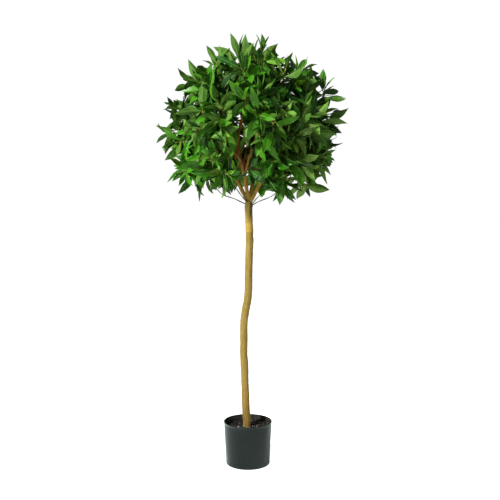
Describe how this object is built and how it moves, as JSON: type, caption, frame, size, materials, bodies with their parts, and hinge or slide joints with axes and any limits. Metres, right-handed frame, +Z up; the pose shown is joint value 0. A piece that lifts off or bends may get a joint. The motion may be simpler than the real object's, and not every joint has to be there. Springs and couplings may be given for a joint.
{
  "type": "artificial standard bay tree in a pot",
  "caption": "Artificial bay tree grown as a standard: a ball of glossy pointed leaves on a bare, gently bent stem, set in a plain round nursery pot.",
  "frame": {"origin": "the centre of the pot's flat underside, on the surface that the plant stands on", "axes": "+Z up along the stem, -Y towards the front of the plant, +X to the right seen from the front"},
  "size_m": [0.6528, 0.6191, 1.5001],
  "materials": {
    "pot": "satin",
    "fill": "matte",
    "bark": "matte",
    "bough": "matte",
    "foliage": "satin"
  },
  "bodies": {
    "root": {"pot": "pot", "fill": "fill", "trunk": "bark", "bough_centre": "bough", "bough_left": "bough", "bough_right": "bough", "bough_front_left": "bough", "bough_back_right": "bough", "bough_back_left": "bough", "limb_front": "bough", "limb_front_right": "bough", "limb_upper_right": "bough", "limb_upper_left": "bough", "limb_upper_front": "bough", "limb_back": "bough", "limb_upper_back_right": "bough", "limb_upper_back_left": "bough", "stem_low_left": "bough", "stem_low_front_left": "bough", "stem_low_front_right": "bough", "stem_low_right": "bough", "stem_low_back_right": "bough", "stem_low_back_left": "bough", "foliage_top": "foliage", "foliage_upper_front": "foliage", "foliage_upper_right": "foliage", "foliage_upper_back_right": "foliage", "foliage_upper_back_left": "foliage", "foliage_upper_left": "foliage", "foliage_front": "foliage", "foliage_front_right": "foliage", "foliage_right": "foliage", "foliage_back_right": "foliage", "foliage_back": "foliage", "foliage_back_left": "foliage", "foliage_left": "foliage", "foliage_front_left": "foliage", "foliage_low_front_right": "foliage", "foliage_low_right": "foliage", "foliage_low_back_right": "foliage", "foliage_low_back_left": "foliage", "foliage_low_left": "foliage", "foliage_low_front_left": "foliage"}
  },
  "joints": []
}
